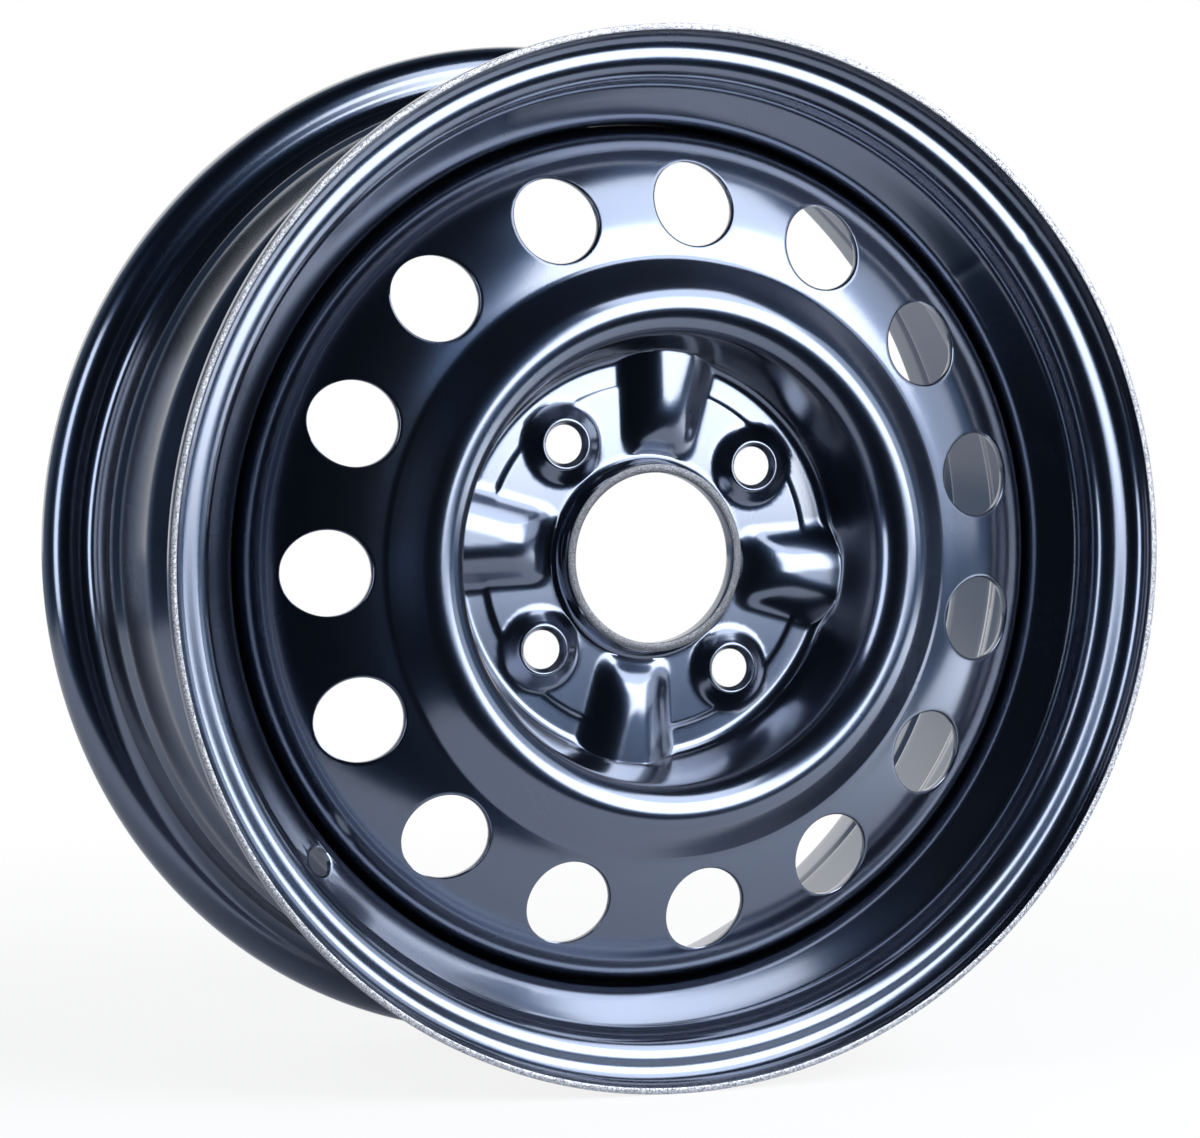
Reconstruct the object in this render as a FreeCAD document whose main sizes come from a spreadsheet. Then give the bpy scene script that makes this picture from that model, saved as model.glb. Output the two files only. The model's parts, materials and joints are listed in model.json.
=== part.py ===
import FreeCAD, Part
import math
import os

import Sketcher
from FreeCAD import Placement, Rotation, Vector

# Steel car wheel, 15 x 6J: a rolled rim hoop, one stamped disc and the weld runs that join them.
# Frame: +Y is the wheel axis, the outboard face looks towards -Y, +Z is up.
# The origin is on the axis, midway between the two bead faces.

# Driving sizes in millimetres and degrees. "reach" is a distance towards -Y from the rim's mid-plane.
SIZES = {
    # Rim hoop
    "rim_width": 152.4,            # between the bead faces of the flanges
    "rim_sheet": 2.5,              # sheet thickness of the hoop
    "bead_diameter": 380.2,        # tyre bead seat at the flange
    "flange_height": 17.5,         # flange top above the bead seat
    "flange_lip": 13.0,            # bead face to the cut edge of the flange
    "flange_curl": 10.0,           # bend at the top of the flange, tyre side
    "flange_root": 6.5,            # bend between bead face and bead seat, tyre side
    "seat_taper": 5.0,             # bead seats fall towards the well by this angle
    "outboard_seat": 16.0,         # width of the outboard bead seat
    "inboard_seat": 20.5,          # width of the inboard bead seat
    "hump_height": 1.0,            # safety hump above the end of the inboard seat
    "hump_width": 4.6,             # seat end to the crest of the hump
    "hump_bend": 4.0,
    "ledge_fall": 3.2,             # inboard ledge below the bead seat
    "well_depth": 17.3,            # drop well below the bead seat
    "well_start": 49.0,            # reach of the well floor's outboard corner
    "well_end": 16.0,              # reach of the well floor's inboard corner
    "ledge_back": 8.0,             # inboard ledge starts this far behind the mid-plane
    "well_bend": 7.0,              # bends at the foot of the well, tyre side
    "shoulder_bend": 9.0,          # bends at the top of the well, tyre side
    "valve_hole": 11.5,
    "valve_angle": 219.5,
    # Disc
    "disc_sheet": 3.5,             # sheet thickness of the stamping
    "disc_fit": 0.1,               # radial clearance of the disc's flange in the well
    "hub_bore": 67.1,
    "collar_height": 8.9,          # collar round the bore, in front of the centre zone
    "collar_bend": 4.0,
    "hub_face_reach": 46.0,        # mounting face, the wheel's offset
    "centre_lift": 1.2,            # centre zone pressed forward of the pad ring
    "pad_inner": 136.8,            # diameter of the step between centre zone and pad ring
    "step_run": 1.6,               # width of that step
    "step_bend": 0.7,              # bend at the foot of the step
    "wall_foot": 160.0,            # diameter where the wall would meet the pad ring
    "wall_bend": 5.0,
    "crown_height": 45.9,          # sharp corner over the crown, in front of the pad ring
    "disc_edge_reach": 25.2,       # inboard edge of the disc's flange
    "flange_length": 26.20044,     # that edge to the sharp corner between flange and vent band
    # Section between the wall's foot and the flange, as shares of the width there is for it
    "crown_share": 0.133,          # wall's foot to the corner over the crown
    "crown_bend_share": 0.133,
    "valley_share": 0.4207,        # wall's foot to the valley
    "valley_fall_share": 0.225,    # valley below the crown's corner
    "valley_bend_share": 0.0665,
    "dome_share": 0.6685,          # wall's foot to the corner over the vent band
    "dome_fall_share": 0.0344,     # that corner below the valley
    "vent_share": 0.6563,          # wall's foot to the middle of the vents
    # Large bends, as shares of the straight length there is for them
    "dome_trim_share": 0.8401805,  # of the line between the valley and the corner over the vent band
    "shoulder_trim_share": 0.908361,  # of what the dome's bend leaves of the next line
    # Vents
    "vent_count": 15,
    "vent_diameter": 33.0,
    "vent_angle": 85.07,
    # Lug holes in raised conical seats
    "lug_count": 4,
    "lug_circle": 114.3,
    "lug_angle": 38.26,
    "lug_hole": 15.2,
    "lug_seat": 18.0,              # mouth of the nut's 60 degree seat
    "lug_seat_angle": 60.0,
    "lug_rim": 0.8,                # width of the flat around the mouth
    "boss_diameter": 31.5,
    "boss_height": 3.5,
    "boss_hollow": 25.0,           # diameter of the pressing's hollow behind the boss
    # Ribs between the lugs
    "rib_height": 6.5,
    "rib_start": 41.5,             # radius of the rib's inner end
    "rib_inner_width": 27.0,
    "rib_outer_width": 39.0,
    "rib_side_run": 9.0,           # width of the sloping sides
    "rib_end_run": 11.0,           # length of the sloping inner end
    "rib_corner": 7.0,             # rounding of the inner end's corners at the foot
    "rib_top_corner": 3.0,         # and at the top
    "rib_sheet": 3.0,              # sheet left over the hollow behind
    # Weld runs
    "weld_count": 8,
    "weld_arc": 22.0,              # degrees covered by one run
    "weld_angle": 15.0,
    "weld_leg": 4.5,               # leg along the rim
    "weld_toe": 0.4,               # part of the disc's edge left bare
    "weld_bulge": 0.6,             # how far the bead stands out
}

# Sizes that follow from those.
FITS = {
    # Disc: the width between the wall's foot and the flange, reaches of its levels and radii of its corners
    "foot_radius": "wall_foot / 2",
    "well_inside": "bead_diameter / 2 - well_depth - rim_sheet",
    "flange_radius": "well_inside - disc_fit",
    "disc_span": "flange_radius - foot_radius",
    "pad_front": "hub_face_reach + disc_sheet",
    "centre_front": "pad_front + centre_lift",
    "boss_front": "centre_front + boss_height",
    "crown_reach": "pad_front + crown_height",
    "valley_reach": "crown_reach - valley_fall_share * disc_span",
    "dome_fall": "dome_fall_share * disc_span",
    "dome_reach": "valley_reach - dome_fall",
    "shoulder_reach": "disc_edge_reach + flange_length",
    "collar_radius": "hub_bore / 2 + disc_sheet",
    "crown_radius": "foot_radius + crown_share * disc_span",
    "valley_radius": "foot_radius + valley_share * disc_span",
    "dome_radius": "foot_radius + dome_share * disc_span",
    "vent_radius": "foot_radius + vent_share * disc_span",
    "wall_lean": "(crown_radius - foot_radius) / crown_height",
    # Vent band: the lines on both sides of its corner, and the bends that fit on them
    "inner_run": "dome_radius - valley_radius",
    "outer_run": "flange_radius - dome_radius",
    "outer_fall": "dome_reach - shoulder_reach",
    "inner_line": "sqrt(inner_run * inner_run + dome_fall * dome_fall)",
    "outer_line": "sqrt(outer_run * outer_run + outer_fall * outer_fall)",
    "dome_trim": "dome_trim_share * inner_line",
    "dome_spread": "inner_line * outer_line + inner_run * outer_run + dome_fall * outer_fall",
    "dome_turn": "inner_run * outer_fall - outer_run * dome_fall",
    "dome_bend": "dome_trim * dome_spread / dome_turn",
    "shoulder_trim": "shoulder_trim_share * (outer_line - dome_trim)",
    "disc_shoulder_bend": "shoulder_trim * (outer_line + outer_fall) / outer_run",
    # Lugs and weld runs
    "lug_radius": "lug_circle / 2",
    "lug_seat_depth": "(lug_seat - lug_hole) / 2 / tan(lug_seat_angle / 2)",
    "weld_inside": "flange_radius - disc_sheet + weld_toe",
}

doc = FreeCAD.newDocument("SteelWheel")
sheet = doc.addObject("Spreadsheet::Sheet", "Sizes")
cells = {alias: str(size) for alias, size in SIZES.items()}
cells.update({alias: "=" + formula for alias, formula in FITS.items()})
for row, (alias, content) in enumerate(cells.items(), start=1):
    sheet.set("A%d" % row, alias.replace("_", " "))
    sheet.setAlias("B%d" % row, alias)
    sheet.set("B%d" % row, content)
doc.recompute()


def named(text):
    """An expression over the sheet from one that uses the bare names of the sizes."""
    words = []
    word = ""
    for sign in text + " ":
        if sign.isalnum() or sign == "_":
            word += sign
            continue
        words.append("Sizes." + word if word in cells else word)
        words.append(sign)
        word = ""
    return "".join(words).strip()


def amount(text):
    """The present value of such an expression."""
    return float(sheet.evalExpression(named(text)))


def new_body(label):
    body = doc.addObject("PartDesign::Body", label.title().replace("_", ""))
    body.Label = label
    return body


def datum(body, role):
    return [item for item in body.Origin.OriginFeatures if item.Role == role][0]


def new_sketch(body, name, plane):
    sketch = body.newObject("Sketcher::SketchObject", name)
    sketch.AttachmentSupport = (datum(body, plane), [""])
    sketch.MapMode = "FlatFace"
    return sketch


def turn_about_axis(sketch, angle):
    """Turn a half-section sketch on the XY plane about the wheel axis, to an angle from +X towards +Z."""
    sketch.AttachmentOffset = Placement(Vector(), Rotation(Vector(0, -1, 0), 1))
    sketch.setExpression("AttachmentOffset.Rotation.Angle", named(angle))


def face_front(sketch, reach, angle):
    """Put a plan sketch at a reach in front of the mid-plane, its x axis along a radius at that angle."""
    sketch.AttachmentOffset = Placement(Vector(0, 0, 1), Rotation(Vector(0, 0, 1), 1))
    sketch.setExpression("AttachmentOffset.Base.z", named(reach))
    sketch.setExpression("AttachmentOffset.Rotation.Angle", named(angle))


def set_size(sketch, constraint, text):
    sketch.setExpression("Constraints[%d]" % sketch.addConstraint(constraint), named(text))


def pin(sketch, geometry, end, across, along):
    """Fix a point of the sketch by its distances from the sketch's origin."""
    set_size(sketch, Sketcher.Constraint("DistanceX", -1, 1, geometry, end, amount(across)), across)
    set_size(sketch, Sketcher.Constraint("DistanceY", -1, 1, geometry, end, amount(along)), along)


def bends(corners):
    """The bend at each inner corner: centre, radius, turning sense, and where it begins and ends."""
    points = [Vector(amount(across), amount(along), 0) for across, along, bend in corners]
    found = []
    for index in range(1, len(points) - 1):
        before = (points[index] - points[index - 1]).normalize()
        after = (points[index + 1] - points[index]).normalize()
        sense = 1 if before.cross(after).z > 0 else -1
        radius = amount(corners[index][2])
        tangent = radius * math.tan(before.getAngle(after) / 2)
        begin = points[index] - before * tangent
        centre = begin + Vector(-before.y, before.x, 0) * (sense * radius)
        found.append((centre, radius, sense, begin, points[index] + after * tangent))
    return points, found


def bend_arc(centre, radius, sense, begin, end):
    first, last = (begin, end) if sense > 0 else (end, begin)
    low = math.atan2(first.y - centre.y, first.x - centre.x)
    high = math.atan2(last.y - centre.y, last.x - centre.x)
    if high < low:
        high += 2 * math.pi
    return Part.ArcOfCircle(Part.Circle(centre, Vector(0, 0, 1), radius), low, high)


def draw_chain(sketch, start, arcs, end):
    """Lines and tangent arcs in turn, from start to end. Gives the indices of both."""
    lines, curves = [], []
    here = start
    for centre, radius, sense, arc_begin, arc_end in arcs:
        lines.append(sketch.addGeometry(Part.LineSegment(here, arc_begin)))
        curves.append(sketch.addGeometry(bend_arc(centre, radius, sense, arc_begin, arc_end)))
        here = arc_end
    lines.append(sketch.addGeometry(Part.LineSegment(here, end)))
    for index, (centre, radius, sense, arc_begin, arc_end) in enumerate(arcs):
        near, far = (1, 2) if sense > 0 else (2, 1)
        sketch.addConstraint(Sketcher.Constraint("Tangent", lines[index], 2, curves[index], near))
        sketch.addConstraint(Sketcher.Constraint("Tangent", curves[index], far, lines[index + 1], 1))
    return lines, curves


def sheet_section(sketch, corners, wall, side):
    """Section of a folded sheet. One face bends at the corners, the other lies to its left (1) or right."""
    points, arcs = bends(corners)
    thickness = amount(wall)
    lines, curves = draw_chain(sketch, points[0], arcs, points[-1])
    pin(sketch, lines[0], 1, corners[0][0], corners[0][1])
    pin(sketch, lines[-1], 2, corners[-1][0], corners[-1][1])
    for index, curve in enumerate(curves):
        across, along, bend = corners[index + 1]
        corner = sketch.addGeometry(Part.Point(points[index + 1]), True)
        pin(sketch, corner, 1, across, along)
        sketch.addConstraint(Sketcher.Constraint("PointOnObject", corner, 1, lines[index]))
        sketch.addConstraint(Sketcher.Constraint("PointOnObject", corner, 1, lines[index + 1]))
        set_size(sketch, Sketcher.Constraint("Radius", curve, amount(bend)), bend)

    def across_wall(point, direction):
        return point + Vector(-direction.y, direction.x, 0).normalize() * (side * thickness)

    offset_arcs = []
    for centre, radius, sense, begin, end in arcs:
        other = radius - side * sense * thickness
        shrink = other / radius
        near, far = centre + (begin - centre) * shrink, centre + (end - centre) * shrink
        offset_arcs.append((centre, other, sense, near, far))
    start = across_wall(points[0], points[1] - points[0])
    finish = across_wall(points[-1], points[-1] - points[-2])
    back_lines, back_curves = draw_chain(sketch, start, offset_arcs, finish)
    for index, curve in enumerate(back_curves):
        bend = corners[index + 1][2]
        sign = "-" if side * arcs[index][2] > 0 else "+"
        text = "%s %s %s" % (bend, sign, wall)
        sketch.addConstraint(Sketcher.Constraint("Coincident", curves[index], 3, curve, 3))
        set_size(sketch, Sketcher.Constraint("Radius", curve, amount(text)), text)
    for end, front, back in ((1, lines[0], back_lines[0]), (2, lines[-1], back_lines[-1])):
        here = points[0] if end == 1 else points[-1]
        there = start if end == 1 else finish
        cap = sketch.addGeometry(Part.LineSegment(here, there))
        sketch.addConstraint(Sketcher.Constraint("Coincident", cap, 1, front, end))
        sketch.addConstraint(Sketcher.Constraint("Coincident", cap, 2, back, end))
        sketch.addConstraint(Sketcher.Constraint("Perpendicular", cap, front))
        sketch.addConstraint(Sketcher.Constraint("Parallel", back, front))


def outline(sketch, corners):
    """Closed outline of straight lines through pinned corners."""
    points = [Vector(amount(across), amount(along), 0) for across, along in corners]
    count = len(points)
    lines = []
    for index in range(count):
        lines.append(sketch.addGeometry(Part.LineSegment(points[index], points[(index + 1) % count])))
    for index in range(count):
        sketch.addConstraint(Sketcher.Constraint("Coincident", lines[index - 1], 2, lines[index], 1))
        pin(sketch, lines[index], 1, corners[index][0], corners[index][1])


def spin(body, kind, name, sketch, axis, angle="360"):
    """Revolve (or groove) a section about one of its sketch's axes."""
    feature = body.newObject("PartDesign::" + kind, name)
    feature.Profile = sketch
    feature.ReferenceAxis = (sketch, [axis])
    feature.setExpression("Angle", named(angle))
    return feature


def ring_of(body, name, features, count):
    """Repeat features evenly round the wheel axis."""
    pattern = body.newObject("PartDesign::PolarPattern", name)
    pattern.Originals = features
    pattern.Axis = (datum(body, "Y_Axis"), [""])
    pattern.Angle = 360
    pattern.setExpression("Occurrences", named(count))
    body.Tip = pattern


# Rim: corners of the tyre side from the outboard cut edge to the inboard one, as radius, place along Y, bend.
bead = "bead_diameter / 2"
flange_top = "bead_diameter / 2 + flange_height"
well_floor = "bead_diameter / 2 - well_depth"
outboard_seat_end = ("bead_diameter / 2 - outboard_seat * tan(seat_taper)", "outboard_seat - rim_width / 2")
well_corner = (well_floor, "-well_start")
inboard_seat_end = "bead_diameter / 2 - inboard_seat * tan(seat_taper)"
rim_corners = [
    (flange_top, "-rim_width / 2 - flange_lip", None),
    (flange_top, "-rim_width / 2", "flange_curl"),
    (bead, "-rim_width / 2", "flange_root"),
    outboard_seat_end + ("shoulder_bend",),
    well_corner + ("well_bend",),
    (well_floor, "-well_end", "well_bend"),
    (bead + " - ledge_fall", "ledge_back", "shoulder_bend"),
    (bead + " - ledge_fall", "rim_width / 2 - inboard_seat - 2 * hump_width", "hump_bend"),
    (inboard_seat_end + " + hump_height", "rim_width / 2 - inboard_seat - hump_width", "hump_bend"),
    (inboard_seat_end, "rim_width / 2 - inboard_seat", "hump_bend"),
    (bead, "rim_width / 2", "flange_root"),
    (flange_top, "rim_width / 2", "flange_curl"),
    (flange_top, "rim_width / 2 + flange_lip", None),
]
rim = new_body("rim")
rim_section = new_sketch(rim, "RimSection", "XY_Plane")
sheet_section(rim_section, rim_corners, "rim_sheet", 1)
spin(rim, "Revolution", "Hoop", rim_section, "V_Axis")

# Valve hole: bored square through the middle of the slope between the outboard bead seat and the well.
valve_section = new_sketch(rim, "ValveSection", "XY_Plane")
turn_about_axis(valve_section, "valve_angle")
slope_top = Vector(amount(outboard_seat_end[0]), amount(outboard_seat_end[1]), 0)
slope_foot = Vector(amount(well_corner[0]), amount(well_corner[1]), 0)
slope = valve_section.addGeometry(Part.LineSegment(slope_top, slope_foot), True)
pin(valve_section, slope, 1, *outboard_seat_end)
pin(valve_section, slope, 2, *well_corner)
middle = (slope_top + slope_foot) * 0.5
run = (slope_foot - slope_top).normalize()
out = Vector(-run.y, run.x, 0)
bore_length = "4 * rim_sheet"
radius = "valve_hole / 2"
bore_top = middle + out * (amount(bore_length) / 2)
bore_foot = middle - out * (amount(bore_length) / 2)
aside = run * amount(radius)
bore_axis = valve_section.addGeometry(Part.LineSegment(bore_foot, bore_top), True)
centre = valve_section.addGeometry(Part.Point(middle), True)
valve_section.addConstraint(Sketcher.Constraint("Symmetric", slope, 1, slope, 2, centre, 1))
valve_section.addConstraint(Sketcher.Constraint("Symmetric", bore_axis, 1, bore_axis, 2, centre, 1))
valve_section.addConstraint(Sketcher.Constraint("Perpendicular", bore_axis, slope))
set_size(valve_section, Sketcher.Constraint("Distance", bore_axis, amount(bore_length)), bore_length)
bore_points = [bore_foot, bore_top, bore_top + aside, bore_foot + aside]
bore_lines = []
for begin, end in zip(bore_points, bore_points[1:] + bore_points[:1]):
    bore_lines.append(valve_section.addGeometry(Part.LineSegment(begin, end)))
for before, after in zip(bore_lines[-1:] + bore_lines[:-1], bore_lines):
    valve_section.addConstraint(Sketcher.Constraint("Coincident", before, 2, after, 1))
valve_section.addConstraint(Sketcher.Constraint("Coincident", bore_lines[0], 1, bore_axis, 1))
valve_section.addConstraint(Sketcher.Constraint("Coincident", bore_lines[0], 2, bore_axis, 2))
valve_section.addConstraint(Sketcher.Constraint("Perpendicular", bore_lines[0], bore_lines[1]))
valve_section.addConstraint(Sketcher.Constraint("Perpendicular", bore_lines[1], bore_lines[2]))
valve_section.addConstraint(Sketcher.Constraint("Perpendicular", bore_lines[2], bore_lines[3]))
set_size(valve_section, Sketcher.Constraint("Distance", bore_lines[1], amount(radius)), radius)
valve = spin(rim, "Groove", "ValveHole", valve_section, "Axis1")
rim.Tip = valve

# Disc: corners of the outboard face from the collar's cut edge to the edge of the flange.
disc_corners = [
    ("collar_radius", "-(centre_front + collar_height)", None),
    ("collar_radius", "-centre_front", "collar_bend"),
    ("(pad_inner - step_run) / 2", "-centre_front", "step_bend + disc_sheet"),
    ("(pad_inner + step_run) / 2", "-pad_front", "step_bend"),
    ("foot_radius", "-pad_front", "wall_bend"),
    ("crown_radius", "-crown_reach", "crown_bend_share * disc_span"),
    ("valley_radius", "-valley_reach", "valley_bend_share * disc_span"),
    ("dome_radius", "-dome_reach", "dome_bend"),
    ("flange_radius", "-shoulder_reach", "disc_shoulder_bend"),
    ("flange_radius", "-disc_edge_reach", None),
]
disc = new_body("disc")
disc_section = new_sketch(disc, "DiscSection", "XY_Plane")
sheet_section(disc_section, disc_corners, "disc_sheet", 1)
spin(disc, "Revolution", "Pressing", disc_section, "V_Axis")

# Vents: round holes pierced along the axis through the domed band.
vent_plan = new_sketch(disc, "VentPlan", "XZ_Plane")
face_front(vent_plan, "crown_reach", "vent_angle")
vent_centre = Vector(amount("vent_radius"), 0, 0)
vent_edge = vent_plan.addGeometry(Part.Circle(vent_centre, Vector(0, 0, 1), amount("vent_diameter / 2")))
vent_plan.addConstraint(Sketcher.Constraint("PointOnObject", vent_edge, 3, -1))
set_size(vent_plan, Sketcher.Constraint("DistanceX", -1, 1, vent_edge, 3, vent_centre.x), "vent_radius")
set_size(vent_plan, Sketcher.Constraint("Diameter", vent_edge, amount("vent_diameter")), "vent_diameter")
vent = disc.newObject("PartDesign::Pocket", "Vent")
vent.Profile = vent_plan
vent.Type = "ThroughAll"
ring_of(disc, "Vents", [vent], "vent_count")

# Ribs: sloping from the foot to the flat top, hollow behind, running out into the steep wall.
rib_angle = "lug_angle + 180 / lug_count"


def rib_plan(name, reach, inset, start, corner, end):
    """Plan of a rib at one level: straight flaring sides, a rounded inner end and a square outer one."""
    flare = "(rib_outer_width - rib_inner_width) / 2 / (foot_radius - rib_start)"
    inner_half = "rib_inner_width / 2 - (%s) + (%s - rib_start) * %s" % (inset, start, flare)
    outer_half = "rib_inner_width / 2 - (%s) + (%s - rib_start) * %s" % (inset, end, flare)
    plan = new_sketch(disc, name, "XZ_Plane")
    face_front(plan, reach, rib_angle)
    corners = [
        (end, outer_half, None),
        (start, inner_half, corner),
        (start, "-(%s)" % inner_half, corner),
        (end, "-(%s)" % outer_half, None),
    ]
    points, arcs = bends(corners)
    lines, curves = draw_chain(plan, points[0], arcs, points[-1])
    close = plan.addGeometry(Part.LineSegment(points[-1], points[0]))
    plan.addConstraint(Sketcher.Constraint("Coincident", lines[-1], 2, close, 1))
    plan.addConstraint(Sketcher.Constraint("Coincident", close, 2, lines[0], 1))
    pin(plan, lines[0], 1, *corners[0][:2])
    pin(plan, lines[-1], 2, *corners[-1][:2])
    for index, curve in enumerate(curves):
        across, along, bend = corners[index + 1]
        mark = plan.addGeometry(Part.Point(points[index + 1]), True)
        pin(plan, mark, 1, across, along)
        plan.addConstraint(Sketcher.Constraint("PointOnObject", mark, 1, lines[index]))
        plan.addConstraint(Sketcher.Constraint("PointOnObject", mark, 1, lines[index + 1]))
        set_size(plan, Sketcher.Constraint("Radius", curve, amount(bend)), bend)
    return plan


def loft(kind, name, levels):
    feature = disc.newObject("PartDesign::" + kind, name)
    feature.Profile = levels[0]
    feature.Sections = levels[1:]
    feature.Ruled = True
    return feature


rib_top_front = "(centre_front + rib_height)"
rib_end = "(foot_radius + disc_sheet / 2)"
rib_top_end = "(foot_radius + disc_sheet / 2 + (rib_height + centre_lift) * wall_lean)"
rib_top_start = "(rib_start + rib_end_run)"
rib = loft("AdditiveLoft", "Rib", [
    rib_plan("RibFoot", "centre_front", "0", "rib_start", "rib_corner", rib_end),
    rib_plan("RibTop", rib_top_front, "rib_side_run", rib_top_start, "rib_top_corner", rib_top_end),
])
hollow_start = "(rib_start + rib_sheet)"
hollow_top_start = "(rib_start + rib_end_run + rib_sheet)"
hollow_top_front = "(centre_front + rib_height - rib_sheet)"
hollow_end = "(foot_radius + 3 * disc_sheet)"
hollow_inset = "rib_sheet + rib_side_run"
hollow = loft("SubtractiveLoft", "RibHollow", [
    rib_plan("HollowFoot", "hub_face_reach", "rib_sheet", hollow_start, "rib_corner", hollow_end),
    rib_plan("HollowTop", hollow_top_front, hollow_inset, hollow_top_start, "rib_top_corner", hollow_end),
])
ring_of(disc, "Ribs", [rib, hollow], "lug_count")

# Lugs: a raised cone pressed forward round each hole, with the nut's conical seat in its mouth.


def lug_sketch(name, profile):
    """Half-section of a form round a lug hole, with the hole's own axis as its first construction line."""
    sketch = new_sketch(disc, name, "XY_Plane")
    turn_about_axis(sketch, "lug_angle")
    low = Vector(amount("lug_radius"), -amount("boss_front"), 0)
    high = Vector(amount("lug_radius"), -amount("hub_face_reach"), 0)
    axis = sketch.addGeometry(Part.LineSegment(low, high), True)
    pin(sketch, axis, 1, "lug_radius", "-boss_front")
    pin(sketch, axis, 2, "lug_radius", "-hub_face_reach")
    outline(sketch, [("lug_radius + " + out, along) for out, along in profile])
    return sketch


boss_section = lug_sketch("BossSection", [
    ("0", "-boss_front"),
    ("lug_seat / 2 + lug_rim", "-boss_front"),
    ("boss_diameter / 2", "-centre_front"),
    ("boss_diameter / 2", "-(hub_face_reach + disc_sheet / 2)"),
    ("0", "-(hub_face_reach + disc_sheet / 2)"),
])
boss = spin(disc, "Revolution", "LugBoss", boss_section, "Axis0")
seat_section = lug_sketch("SeatSection", [
    ("0", "-boss_front"),
    ("lug_seat / 2", "-boss_front"),
    ("lug_hole / 2", "-boss_front + lug_seat_depth"),
    ("lug_hole / 2", "-boss_front + disc_sheet"),
    ("boss_hollow / 2", "-(hub_face_reach + centre_lift)"),
    ("boss_hollow / 2", "-hub_face_reach + disc_sheet"),
    ("0", "-hub_face_reach + disc_sheet"),
])
seat = spin(disc, "Groove", "LugSeat", seat_section, "Axis0")
ring_of(disc, "Lugs", [boss, seat], "lug_count")

# Weld runs: fillet welds between the inboard edge of the disc's flange and the floor of the well.
weld_beads = new_body("weld_beads")
weld_section = new_sketch(weld_beads, "WeldSection", "XY_Plane")
turn_about_axis(weld_section, "weld_angle")
weld_corners = [
    ("well_inside", "-disc_edge_reach"),
    ("well_inside", "weld_leg - disc_edge_reach"),
    ("(well_inside + weld_inside) / 2 - weld_bulge", "weld_leg / 2 + weld_bulge - disc_edge_reach"),
    ("weld_inside", "-disc_edge_reach"),
]
outline(weld_section, weld_corners)
weld_run = spin(weld_beads, "Revolution", "WeldRun", weld_section, "V_Axis", "weld_arc")
ring_of(weld_beads, "WeldRuns", [weld_run], "weld_count")

doc.recompute()
subparts = [rim, disc, weld_beads]
for item in doc.Objects:
    if "Invalid" in item.State or "Error" in item.State:
        raise RuntimeError("%s did not build: %s" % (item.Name, item.State))
for subpart in subparts:
    if subpart.Shape.isNull() or not subpart.Shape.isValid():
        raise RuntimeError("%s has no valid shape" % subpart.Label)

os.makedirs("parts", exist_ok=True)
for subpart in subparts:
    subpart.Shape.exportStep("parts/%s.step" % subpart.Label)
    shape = subpart.Shape
    print(subpart.Label, len(shape.Solids), "solids", round(shape.Volume), "mm3", shape.BoundBox)
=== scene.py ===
import json
import math

import bmesh
import bpy
import numpy as np
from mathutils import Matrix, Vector
from mathutils.geometry import delaunay_2d_cdt


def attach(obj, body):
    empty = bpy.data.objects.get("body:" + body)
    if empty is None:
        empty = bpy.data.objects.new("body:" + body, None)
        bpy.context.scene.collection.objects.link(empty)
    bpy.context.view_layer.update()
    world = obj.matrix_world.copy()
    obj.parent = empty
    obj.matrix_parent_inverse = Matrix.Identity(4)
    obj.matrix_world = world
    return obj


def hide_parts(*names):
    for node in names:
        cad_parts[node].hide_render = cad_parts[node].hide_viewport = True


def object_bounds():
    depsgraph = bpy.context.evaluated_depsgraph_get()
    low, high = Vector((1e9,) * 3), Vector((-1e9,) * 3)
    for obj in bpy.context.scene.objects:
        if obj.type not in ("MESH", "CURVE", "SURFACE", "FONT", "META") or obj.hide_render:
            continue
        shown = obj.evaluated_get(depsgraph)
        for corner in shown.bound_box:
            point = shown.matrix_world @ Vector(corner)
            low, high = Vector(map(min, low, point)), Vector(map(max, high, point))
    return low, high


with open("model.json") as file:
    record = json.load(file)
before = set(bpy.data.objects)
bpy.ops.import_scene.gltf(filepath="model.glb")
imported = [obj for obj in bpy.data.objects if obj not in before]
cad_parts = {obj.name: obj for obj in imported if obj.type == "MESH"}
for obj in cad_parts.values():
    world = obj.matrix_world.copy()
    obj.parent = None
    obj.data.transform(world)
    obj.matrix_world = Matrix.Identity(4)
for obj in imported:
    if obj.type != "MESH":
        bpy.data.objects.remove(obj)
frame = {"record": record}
cad_low, cad_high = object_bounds()
mounts = {mount["name"]: mount for mount in frame["record"]["mounts"]}

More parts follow.
